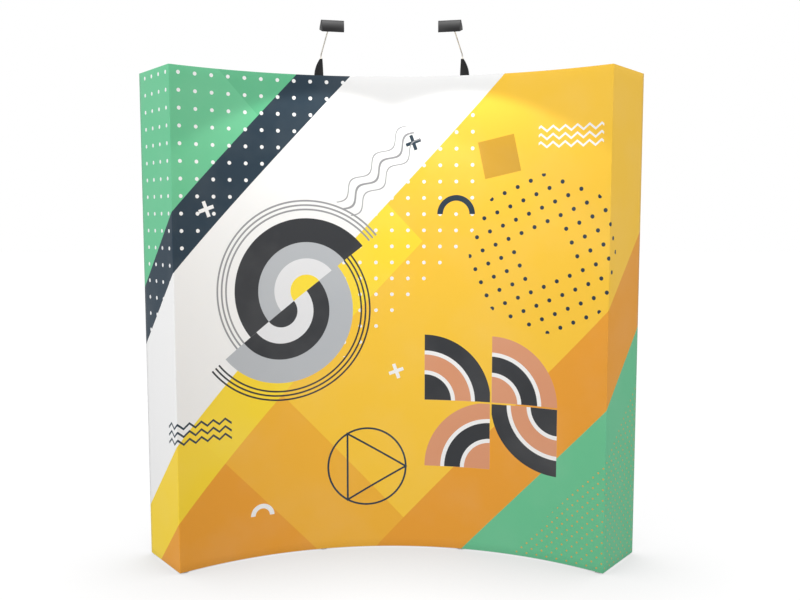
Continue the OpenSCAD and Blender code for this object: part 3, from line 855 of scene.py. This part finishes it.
class PlanPath:
    """The skin's line in plan: an end return, the long arc and the other end return."""

    def __init__(self, sizes: WallSizes, arc_steps: int = 150, end_steps: int = 16) -> None:
        """Works out the line's points, the way to the frame at each, and the run along it.

        Args:
            sizes: the wall's sizes.
            arc_steps: the steps along the whole arc.
            end_steps: the steps along each end return.
        """
        self.sizes = sizes
        half = self._half(arc_steps, end_steps)
        mirrored = [((-x, y), (-nx, ny)) for (x, y), (nx, ny) in half[:0:-1]]
        both = mirrored + half
        self.points = np.array([p for p, _ in both])
        self.inward = np.array([n for _, n in both])
        steps = np.linalg.norm(np.diff(self.points, axis=0), axis=1)
        self.run = np.concatenate([[0.0], np.cumsum(steps)])
        self.run -= self.run[len(mirrored)]

    def _half(self, arc_steps: int, end_steps: int) -> List[Tuple[Point2, Point2]]:
        """The right half of the line, from the middle to the rear edge of the end return.

        Args:
            arc_steps: the steps along the whole arc.
            end_steps: the steps along the end return.

        Returns:
            Pairs of a point and the way to the frame there.
        """
        s = self.sizes
        out = s.cap_offset - s.corner
        centre = math.sqrt((s.radius + s.corner) ** 2 - out ** 2)
        lean = math.atan2(out, centre)
        last = math.radians(s.end_angle) + lean
        half: List[Tuple[Point2, Point2]] = []
        for k in range(arc_steps // 2 + 1):
            a = last * k / (arc_steps // 2)
            half.append((self._global(0, s.radius, a), (math.sin(a), math.cos(a))))
        end = math.radians(s.end_angle)
        for k in range(1, CORNER_STEPS + 1):
            turn = -(math.pi / 2 + lean) * (1 - k / CORNER_STEPS)
            t, r = out + s.corner * math.cos(turn), centre + s.corner * math.sin(turn)
            half.append((self._global(t, r, end), self._turned(-math.cos(turn), -math.sin(turn), end)))
        rear = s.radius + s.depth
        for k in range(1, end_steps + 1):
            r = centre + (rear - centre) * k / end_steps
            half.append((self._global(s.cap_offset, r, end), self._turned(-1, 0, end)))
        return half

    def _turned(self, t: float, r: float, angle: float) -> Point2:
        """A direction in a column's frame, as X and Y.

        Args:
            t: its part along the wall.
            r: its part away from the wall's centre.
            angle: the column's angle, in radians.

        Returns:
            The direction's X and Y.
        """
        c, s = math.cos(angle), math.sin(angle)
        return t * c + r * s, r * c - t * s

    def _global(self, t: float, r: float, angle: float) -> Point2:
        """A point in a column's frame, as X and Y, with the arguments of _turned."""
        x, y = self._turned(t, r, angle)
        return x, y + self.sizes.centre_y

    def at(self, index: int, back: float, z: float) -> Vector:
        """A point behind the skin's face.

        Args:
            index: which point of the line it is at.
            back: the distance behind the face.
            z: the height.

        Returns:
            The point.
        """
        x, y = self.points[index] + self.inward[index] * back
        return Vector((x, y, z))


@dataclass
class GraphicSkin:
    """The one-piece printed skin with its hems, their stitches and the pads sewn to its back."""

    sizes: WallSizes
    finishes: Finishes
    hem: float = 0.0225
    pocket_back: float = 0.0028
    pocket_cloth: float = 0.00045
    stitch: float = 0.0034
    stitch_gap: float = 0.0022
    thread: float = 0.0002
    proud: float = 0.00002
    rows: int = 56
    path: PlanPath = field(init=False)
    pieces: List[bpy.types.Object] = field(default_factory=list)

    def __post_init__(self) -> None:
        """Works out the skin's line in plan."""
        self.path = PlanPath(self.sizes)

    def section(self) -> List[Tuple[float, float, int]]:
        """The cloth's cross-section, a loop from the lower hem up the front and down the back.

        Returns:
            Rows of height, distance behind the face, and 0 for the front or 1 for the back.
        """
        low, high = self.sizes.lift, self.sizes.height
        thick = self.sizes.cloth * 0.85
        edge = thick / 2
        heights = np.linspace(low + edge, high - edge, self.rows)
        section = [(z, 0.0, 0) for z in heights]
        fold = [math.pi * k / FOLD_STEPS for k in range(1, FOLD_STEPS)]
        section += [(high - edge + edge * math.sin(a), edge - edge * math.cos(a), 0) for a in fold]
        section += [(z, thick, 1) for z in heights[::-1]]
        section += [(low + edge - edge * math.sin(a), edge + edge * math.cos(a), 0) for a in fold]
        return section

    def cloth(self) -> bpy.types.Object:
        """Builds the skin as one closed sheet, with its map in metres.

        Returns:
            The sheet, printed in front and plain behind.
        """
        section = self.section()
        count = len(section)
        mesh = bmesh.new()
        uv = mesh.loops.layers.uv.new("metres")
        rings = [[mesh.verts.new(self.path.at(i, back, z)) for z, back, _ in section]
                 for i in range(len(self.path.run))]
        place: Dict[bmesh.types.BMVert, Point2] = {}
        for i, ring in enumerate(rings):
            for vert, (z, _, _) in zip(ring, section):
                place[vert] = (float(self.path.run[i]), z)
        for one, two in zip(rings, rings[1:]):
            for k in range(count):
                n = (k + 1) % count
                face = mesh.faces.new((one[k], two[k], two[n], one[n]))
                face.material_index = 1 if section[k][2] == 1 and section[n][2] == 1 else 0
        folds = FOLD_STEPS - 1
        for ring, flip in ((rings[0], True), (rings[-1], False)):
            for k in range(self.rows - 1):
                mirror = 2 * self.rows + folds - 1 - k
                loop = (ring[k], ring[mirror], ring[mirror - 1], ring[k + 1])
                mesh.faces.new(loop[::-1] if flip else loop)
            tops = [ring[self.rows - 1 + j] for j in range(folds + 2)]
            lows = [ring[(2 * self.rows + folds - 1 + j) % count] for j in range(folds + 2)]
            for cap in (tops, lows):
                mesh.faces.new(cap if flip else cap[::-1])
        bmesh.ops.recalc_face_normals(mesh, faces=mesh.faces)
        for face in mesh.faces:
            face.smooth = True
            for corner in face.loops:
                corner[uv].uv = place[corner.vert]
        data = bpy.data.meshes.new("skin")
        mesh.to_mesh(data)
        mesh.free()
        skin = new_object("graphic_skin_cloth", data)
        data.materials.append(self.finishes.by_slot["printed_fabric"])
        data.materials.append(self.finishes.by_slot["cloth_back"])
        return skin

    def pocket(self, edge: HemEdge) -> bpy.types.Object:
        """The hem's inner strip, which closes over the batten and is sewn down along both edges.

        Args:
            edge: which of the two hems.

        Returns:
            The strip.
        """
        thick, back, cloth = self.sizes.cloth, self.pocket_back, self.pocket_cloth
        turned_in = 0.0004
        inner = [(0.0, thick), (0.003, back), (self.hem - 0.0015, back), (self.hem, thick)]
        outer = [(-turned_in, thick)] + [(d, b + cloth) for d, b in inner[1:3]]
        outer.append((self.hem + 0.0003, thick))
        ring = inner + outer[::-1]
        if edge is HemEdge.TOP:
            base = self.sizes.height - self.hem - turned_in
            ring = [(base + d, b) for d, b in ring]
        else:
            base = self.sizes.lift + self.hem + turned_in
            ring = [(base - d, b) for d, b in ring]
        line_points = range(1, len(self.path.run) - 1)
        rings = [[self.path.at(i, b, z) for z, b in ring] for i in line_points]
        strip = loft(f"{edge.value}_hem_pocket", rings)
        shade_by_angle(strip, 50)
        self.finishes.dress(strip, "cloth_back")
        return strip

    def stitch_shape(self) -> bpy.types.Object:
        """One stitch, a short thread that dips into the cloth at both ends.

        Returns:
            The stitch, lying along X.
        """
        rings = []
        for share in (-1.0, -0.7, 0.0, 0.7, 1.0):
            swell = self.thread * (1 - 0.65 * share * share)
            rings.append([Vector((share * self.stitch / 2, swell * math.cos(a), swell * math.sin(a)))
                          for a in (math.radians(60 * k) for k in range(6))])
        return loft("stitch", rings)

    def stitch_rows(self) -> bpy.types.Object:
        """The seams' stitches, set along curves by a node tree.

        Returns:
            The stitches of all four seams, as one mesh.
        """
        curve = bpy.data.curves.new("seams", "CURVE")
        curve.dimensions = "3D"
        levels = (self.sizes.height - self.hem, self.sizes.lift + self.hem)
        inner = range(2, len(self.path.run) - 2)
        lines = [[self.path.at(i, -self.proud, z) for i in inner] for z in levels]
        for end in (3, len(self.path.run) - 4):
            lines.append([self.path.at(end, -self.proud, z) for z in np.linspace(levels[1], levels[0], 90)])
        for line in lines:
            spline = curve.splines.new("POLY")
            spline.points.add(len(line) - 1)
            for point, place in zip(spline.points, line):
                point.co = (*place, 1)
        seams = bpy.data.objects.new("seams", curve)
        bpy.context.scene.collection.objects.link(seams)
        shape = self.stitch_shape()
        result = set_along(seams, shape, self.stitch + self.stitch_gap, "hem_stitches",
                           self.finishes.by_slot["printed_fabric"])
        bpy.data.objects.remove(seams)
        bpy.data.objects.remove(shape)
        self.dye(result)
        return result

    def dye(self, piece: bpy.types.Object) -> None:
        """Gives a piece on the skin's face the skin's own map, so that it takes the print's colours.

        Args:
            piece: the piece, which lies on the face.
        """
        line = self.path.points
        places = np.array([tuple(vert.co) for vert in piece.data.vertices])
        near = np.array([int(np.argmin(((line - place) ** 2).sum(axis=1))) for place in places[:, :2]])
        ahead = line[np.clip(near + 1, 0, len(line) - 1)] - line[np.clip(near - 1, 0, len(line) - 1)]
        ahead /= np.linalg.norm(ahead, axis=1)[:, None]
        run = self.path.run[near] + ((places[:, :2] - line[near]) * ahead).sum(axis=1)
        layer = piece.data.uv_layers.new(name="metres")
        for loop in piece.data.loops:
            k = loop.vertex_index
            layer.data[loop.index].uv = (run[k], places[k, 2])

    def build(self) -> None:
        """Builds and places every piece of the skin."""
        skin = self.cloth()
        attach(skin, "skin")
        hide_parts("graphic_skin")
        extra = [self.pocket(HemEdge.TOP), self.pocket(HemEdge.BOTTOM), self.stitch_rows()]
        for piece in extra:
            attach(piece, "skin")
        wide = float(self.path.run[-1] - self.path.run[0])
        pads = moulded_copy("loop_pads", "loop_pad_tape", 0.0003)
        self.finishes.dress(pads, "loop_tape")
        for node in ("top_hem_batten", "bottom_hem_batten"):
            self.finishes.dress(FRAME["nodes"][node], "batten_plastic")
        for piece in (skin, *extra, pads):
            LOG.info("skin: %s, %d faces", piece.name, len(piece.data.polygons))


def set_along(line: bpy.types.Object, shape: bpy.types.Object, step: float, name: str,
              material: bpy.types.Material) -> bpy.types.Object:
    """Sets copies of a shape along a curve, through a node tree that is baked to a mesh.

    Args:
        line: the curve object.
        shape: what is repeated, lying along X.
        step: the distance from one copy to the next.
        name: the new piece's name.
        material: the finish of the copies.

    Returns:
        The baked piece.
    """
    tree = bpy.data.node_groups.new(f"set_{name}", "GeometryNodeTree")
    sockets = tree.interface
    sockets.new_socket("Geometry", in_out="OUTPUT", socket_type="NodeSocketGeometry")
    sockets.new_socket("Line", in_out="INPUT", socket_type="NodeSocketObject")
    sockets.new_socket("Shape", in_out="INPUT", socket_type="NodeSocketObject")
    sockets.new_socket("Step", in_out="INPUT", socket_type="NodeSocketFloat")
    sockets.new_socket("Finish", in_out="INPUT", socket_type="NodeSocketMaterial")
    nodes, link = tree.nodes, tree.links.new
    source = nodes.new("NodeGroupInput")
    result = nodes.new("NodeGroupOutput")
    curve = nodes.new("GeometryNodeObjectInfo")
    item = nodes.new("GeometryNodeObjectInfo")
    points = nodes.new("GeometryNodeCurveToPoints")
    points.mode = "LENGTH"
    place = nodes.new("GeometryNodeInstanceOnPoints")
    turn = nodes.new("FunctionNodeAlignRotationToVector")
    turn.axis = "X"
    real = nodes.new("GeometryNodeRealizeInstances")
    paint = nodes.new("GeometryNodeSetMaterial")
    link(source.outputs["Line"], curve.inputs["Object"])
    link(source.outputs["Shape"], item.inputs["Object"])
    link(curve.outputs["Geometry"], points.inputs["Curve"])
    link(source.outputs["Step"], points.inputs["Length"])
    link(points.outputs["Points"], place.inputs["Points"])
    link(points.outputs["Tangent"], turn.inputs["Vector"])
    link(turn.outputs["Rotation"], place.inputs["Rotation"])
    link(item.outputs["Geometry"], place.inputs["Instance"])
    link(place.outputs["Instances"], real.inputs["Geometry"])
    link(real.outputs["Geometry"], paint.inputs["Geometry"])
    link(source.outputs["Finish"], paint.inputs["Material"])
    link(paint.outputs["Geometry"], result.inputs[0])
    piece = new_object(name, bpy.data.meshes.new(name))
    modifier = piece.modifiers.new("set", "NODES")
    modifier.node_group = tree
    values = {"Line": line, "Shape": shape, "Step": step, "Finish": material}
    for socket in sockets.items_tree:
        if socket.in_out == "INPUT":
            modifier[socket.identifier] = values[socket.name]
    bake(piece)
    bpy.data.node_groups.remove(tree)
    return piece


# ---------------------------------------------------------------- the frame


@dataclass
class LatticeFrame:
    """The hubs, tubes, tips, pins, struts and feet behind the skin.

    cap_profile is a rear cap's section, as radius and height, from its middle out.
    """

    sizes: WallSizes
    finishes: Finishes
    hub_edge: float = 0.0007
    cap_sides: int = 40
    cap_profile: Tuple[Point2, ...] = (
        (0.006, 0.00148), (0.0065, 0.00110), (0.0078, 0.00110), (0.0083, 0.00142),
        (0.0165, 0.00132), (0.0170, 0.00095), (0.0180, 0.00095), (0.0185, 0.00125),
        (0.0225, 0.00105), (0.0238, 0.00060), (0.0240, 0.0),
    )

    def rear_cap(self, angle: float, z: float) -> bpy.types.Object:
        """One domed cap with two rings turned into it.

        Args:
            angle: its column's angle, in radians.
            z: the height of its middle.

        Returns:
            The cap, on the face of its hub.
        """
        back = Vector((math.sin(angle), math.cos(angle), 0))
        along = Vector((math.cos(angle), -math.sin(angle), 0))
        centre = Vector((0, self.sizes.centre_y, z)) + back * self.sizes.rear_face
        turns = [2 * math.pi * k / self.cap_sides for k in range(self.cap_sides)]
        rings = [[centre + back * rise + along * (radius * math.cos(a)) +
                  Vector((0, 0, radius * math.sin(a))) for a in turns]
                 for radius, rise in self.cap_profile]
        return loft("cap", rings[::-1])

    def rear_caps(self) -> bpy.types.Object:
        """Makes the caps of all the rear hubs.

        Returns:
            The caps, as one piece.
        """
        angles = [-self.sizes.end_angle + i * self.sizes.bay_angle for i in range(self.sizes.columns)]
        caps = join("rear_hub_cap_discs", [self.rear_cap(math.radians(angle), z)
                                           for angle in angles for z in self.sizes.row_heights])
        shade_by_angle(caps, 25)
        return caps

    def report(self, piece: bpy.types.Object) -> None:
        """Reports one finished piece."""
        LOG.info("frame: %s, %d faces", piece.name, len(piece.data.polygons))

    def build(self) -> None:
        """Replaces the frame's nodes that need rounded edges with moulded copies, makes the rear caps, and
        dresses them.
        """
        for face in ("front", "rear"):
            for column in range(1, self.sizes.columns + 1):
                hubs = moulded_copy(f"{face}_hubs_column_{column}", f"{face}_hub_shells_{column}",
                                    self.hub_edge)
                self.finishes.dress(hubs, "hub_plastic")
                self.report(hubs)
        caps = self.rear_caps()
        self.finishes.dress(caps, "cap_plastic")
        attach(caps, "frame")
        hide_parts("rear_hub_caps")
        self.report(caps)
        for node, edge, slot in (("hook_pads", 0.0003, "hook_tape"), ("feet", 0.0008, "hub_plastic"),
                                 ("foot_pads", 0.0012, "foot_rubber"),
                                 ("lamp_sockets", 0.0006, "hub_plastic")):
            piece = moulded_copy(node, f"{node}_shaped", edge)
            self.finishes.dress(piece, slot)
            self.report(piece)


# ---------------------------------------------------------------- the lamps


@dataclass
class ArmLamp:
    """One arm lamp: bracket, bush, arm, knuckle and head."""

    side: Side
    finishes: Finishes

    def part(self, name: str) -> str:
        """A node's full name."""
        return f"{self.side.word}_{name}"

    def build(self) -> None:
        """Rounds and dresses the lamp's pieces."""
        for name, edge, slot in (("lamp_bracket", 0.0016, "lamp_black_plastic"),
                                 ("arm_knuckle", 0.0006, "lamp_housing"),
                                 ("head_shell", 0.0016, "lamp_housing"),
                                 ("head_bezel", 0.0004, "lamp_black_plastic"),
                                 ("cord_gland", 0.0004, "lamp_black_plastic")):
            piece = moulded_copy(self.part(name), self.part(f"{name}_shaped"), edge, 3)
            self.finishes.dress(piece, slot)
            LOG.info("lamp: %s, %d faces", piece.name, len(piece.data.polygons))


# ---------------------------------------------------------------- stage


@dataclass(frozen=True)
class Panel:
    """A soft square light panel: where it hangs, what it faces, its side and its power in watts."""

    name: str
    place: Tuple[float, float, float]
    target: Tuple[float, float, float]
    side: float
    watts: float

    def hang(self) -> None:
        """Hangs the panel."""
        data = bpy.data.lights.new(self.name, "AREA")
        data.energy = self.watts
        data.size = self.side
        light = bpy.data.objects.new(self.name, data)
        light.location = self.place
        way = Vector(self.target) - Vector(self.place)
        light.rotation_euler = way.to_track_quat("-Z", "Y").to_euler()
        bpy.context.scene.collection.objects.link(light)


@dataclass(frozen=True)
class Studio:
    """The floor, the soft light and the camera.

    sky is the room's light on the object. The floor's own light, which only fills it up to white
    for the eye, goes from floor_near by the wall to floor_far in the distance, and is dimmed by
    contact_share where the wall stands within contact_reach: a painted contact shadow, laid over
    the wall's real shadow on the floor. A lamp's glow starts a little in front of its lens, by
    glow_offset, and leans towards the wall by glow_lean degrees, which gives the broad and even arch
    that such heads throw.
    """

    lens: float = 39.24
    eye: Tuple[float, float, float] = (0.038, -4.061, 1.565)
    pitch: float = 5.13
    sky: float = 0.777
    floor_size: float = 40.0
    floor_grey: float = 0.12
    floor_near: float = 0.895
    floor_far: float = 0.94
    floor_fade: Tuple[float, float] = (1.4, 5.0)
    contact_reach: float = 0.7
    contact_share: float = 0.5
    panels: Tuple[Panel, ...] = (
        Panel("key", (-4.0, -3.8, 2.5), (0, 0, 1.1), 3.0, 126),
        Panel("fill", (4.0, -3.8, 2.5), (0, 0, 1.1), 3.0, 77),
        Panel("top", (0.0, -1.2, 5.4), (0, 0.2, 0), 3.5, 25),
    )
    glow_watts: float = 6.4
    glow_cone: float = 114.0
    glow_lean: float = 8.0
    glow_edge: float = 0.18
    glow_offset: Tuple[float, float, float] = (0.0, -0.15, -0.014)

    def camera(self) -> None:
        """Places the camera at the photograph's angle."""
        data = bpy.data.cameras.new("camera")
        data.lens = self.lens
        data.sensor_width = 36.0
        data.clip_end = 200.0
        camera = bpy.data.objects.new("camera", data)
        camera.location = self.eye
        camera.rotation_euler = (math.radians(90 - self.pitch), 0, 0)
        bpy.context.scene.collection.objects.link(camera)
        bpy.context.scene.camera = camera

    def floor(self) -> None:
        """Lays a wide white floor that keeps the wall's shadow, adds a painted contact shadow near the
        wall, and fades into the white behind it.
        """
        mesh = bmesh.new()
        bmesh.ops.create_grid(mesh, x_segments=2, y_segments=2, size=self.floor_size)
        data = bpy.data.meshes.new("floor")
        mesh.to_mesh(data)
        mesh.free()
        floor = new_object("floor", data)
        material, tree, shader = new_material("floor_white")
        shader.inputs["Base Color"].default_value = (*[self.floor_grey] * 3, 1)
        shader.inputs["Roughness"].default_value = 0.95
        shader.inputs["Specular IOR Level"].default_value = 0.0
        shader.inputs["Emission Color"].default_value = (1, 1, 1, 1)
        split = tree.nodes.new("ShaderNodeSeparateXYZ")
        tree.links.new(tree.nodes.new("ShaderNodeTexCoord").outputs["Object"], split.inputs[0])
        away = Field(tree, split.outputs[0]).distance(Field(tree, split.outputs[1]) + 0.2)
        near, far = self.floor_fade
        lift = away.beyond((near + far) / 2, far - near) * (self.floor_far - self.floor_near)
        # painted contact shadow: the floor's own light is dimmed by ambient occlusion near the wall, over
        # its real shadow
        shade = tree.nodes.new("ShaderNodeAmbientOcclusion")
        shade.inputs["Distance"].default_value = self.contact_reach
        painted_contact_shadow = Field(tree, shade.outputs["AO"]) * self.contact_share + (1 - self.contact_share)
        lift = (lift + self.floor_near) * painted_contact_shadow * self.seen(tree)
        tree.links.new(lift.socket, shader.inputs["Emission Strength"])
        data.materials.append(material)

    def seen(self, tree: bpy.types.NodeTree) -> Field:
        """Marks what is only looked at.

        Args:
            tree: the node tree to add to.

        Returns:
            1 for what the camera sees, straight, mirrored or through glass, and 0 for light on
            the object.
        """
        path = tree.nodes.new("ShaderNodeLightPath")
        rays = ("Is Camera Ray", "Is Glossy Ray", "Is Transmission Ray")
        first, second, third = (Field(tree, path.outputs[ray]) for ray in rays)
        return first.most(second).most(third)

    def world(self) -> None:
        """Lights the room evenly and shows plain white behind it."""
        world = bpy.data.worlds.new("room")
        bpy.context.scene.world = world
        world.use_nodes = True
        tree = world.node_tree
        tree.nodes.clear()
        out = tree.nodes.new("ShaderNodeOutputWorld")
        back = tree.nodes.new("ShaderNodeBackground")
        back.inputs["Color"].default_value = (1, 1, 1, 1)
        strength = self.seen(tree).reckon("MULTIPLY_ADD", 1 - self.sky, self.sky)
        tree.links.new(strength.socket, back.inputs["Strength"])
        tree.links.new(back.outputs[0], out.inputs[0])

    def lamp_glow(self, side: Side) -> None:
        """The light that a lamp head throws down the wall, cut off at the edge of the spot's cone.

        Args:
            side: which of the two lamps.
        """
        data = bpy.data.lights.new(f"{side.word}_glow", "SPOT")
        data.energy = self.glow_watts
        data.spot_size = math.radians(self.glow_cone)
        data.spot_blend = self.glow_edge
        data.shadow_soft_size = 0.02
        data.color = (1.0, 0.98, 0.93)
        light = bpy.data.objects.new(f"{side.word}_glow", data)
        low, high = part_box(f"{side.word}_head_lens")
        light.location = (low + high) / 2 + Vector(self.glow_offset)
        light.rotation_euler = (math.radians(self.glow_lean), 0, 0)
        bpy.context.scene.collection.objects.link(light)

    def build(self) -> None:
        """Sets the whole stage."""
        self.camera()
        self.floor()
        self.world()
        for panel in self.panels:
            panel.hang()
        for side in Side:
            self.lamp_glow(side)
        bpy.context.scene.view_settings.view_transform = "Standard"


def dress_plain_nodes(finishes: Finishes) -> None:
    """Gives every node that is still shown the finish of its slot.

    Args:
        finishes: the object's finishes.
    """
    for part in FRAME["record"]["subparts"]:
        node = FRAME["nodes"][part["node"]]
        if not node.hide_render:
            finishes.dress(node, part["material_slot"])
            LOG.info("plain: %s", part["node"])


def main() -> None:
    """Builds the stage and the object, in order."""
    logging.basicConfig(level=logging.INFO, format="%(name)s: %(message)s")
    Studio().build()
    finishes = Finishes()
    GraphicSkin(WALL, finishes).build()
    LatticeFrame(WALL, finishes).build()
    for side in Side:
        ArmLamp(side, finishes).build()
    dress_plain_nodes(finishes)


if __name__ == "__main__":
    main()
